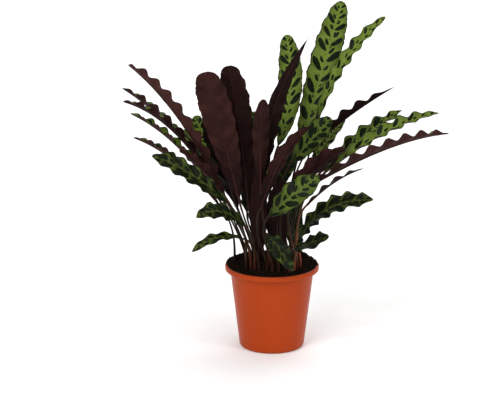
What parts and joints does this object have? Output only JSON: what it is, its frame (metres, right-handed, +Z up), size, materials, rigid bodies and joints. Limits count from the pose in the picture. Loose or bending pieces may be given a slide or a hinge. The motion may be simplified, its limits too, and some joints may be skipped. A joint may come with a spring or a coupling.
{
  "type": "potted calathea",
  "caption": "House plant in a round tapered plastic nursery pot: a clump of long patterned leaves with waved edges and purple undersides, rising from dark compost.",
  "frame": {"origin": "centre of the pot's flat underside, where the pot stands on its surface", "axes": "+Z up along the pot's axis, -Y towards the side with the low drooping leaves, +X to that side's right"},
  "size_m": [0.5655, 0.3406, 0.6193],
  "materials": {
    "pot": "satin terracotta-coloured moulded plastic",
    "compost": null,
    "leaf": null
  },
  "bodies": {
    "root": {"pot": "pot", "soil": "compost", "left_1": "leaf", "left_2": "leaf", "left_3": "leaf", "left_4": "leaf", "left_5": "leaf", "left_6": "leaf", "left_7": "leaf", "left_8": "leaf", "left_9": "leaf", "front_1": "leaf", "front_2": "leaf", "front_3": "leaf", "front_4": "leaf", "front_5": "leaf", "front_6": "leaf", "front_7": "leaf", "front_8": "leaf", "front_9": "leaf", "front_10": "leaf", "front_11": "leaf", "back_1": "leaf", "back_2": "leaf", "right_1": "leaf", "right_2": "leaf", "right_3": "leaf", "right_4": "leaf", "right_5": "leaf", "right_6": "leaf", "right_7": "leaf", "right_8": "leaf", "right_9": "leaf", "back_3": "leaf", "back_4": "leaf", "back_5": "leaf", "back_6": "leaf", "back_7": "leaf", "back_8": "leaf", "back_9": "leaf", "back_10": "leaf", "back_11": "leaf", "back_12": "leaf", "back_13": "leaf"}
  },
  "joints": []
}
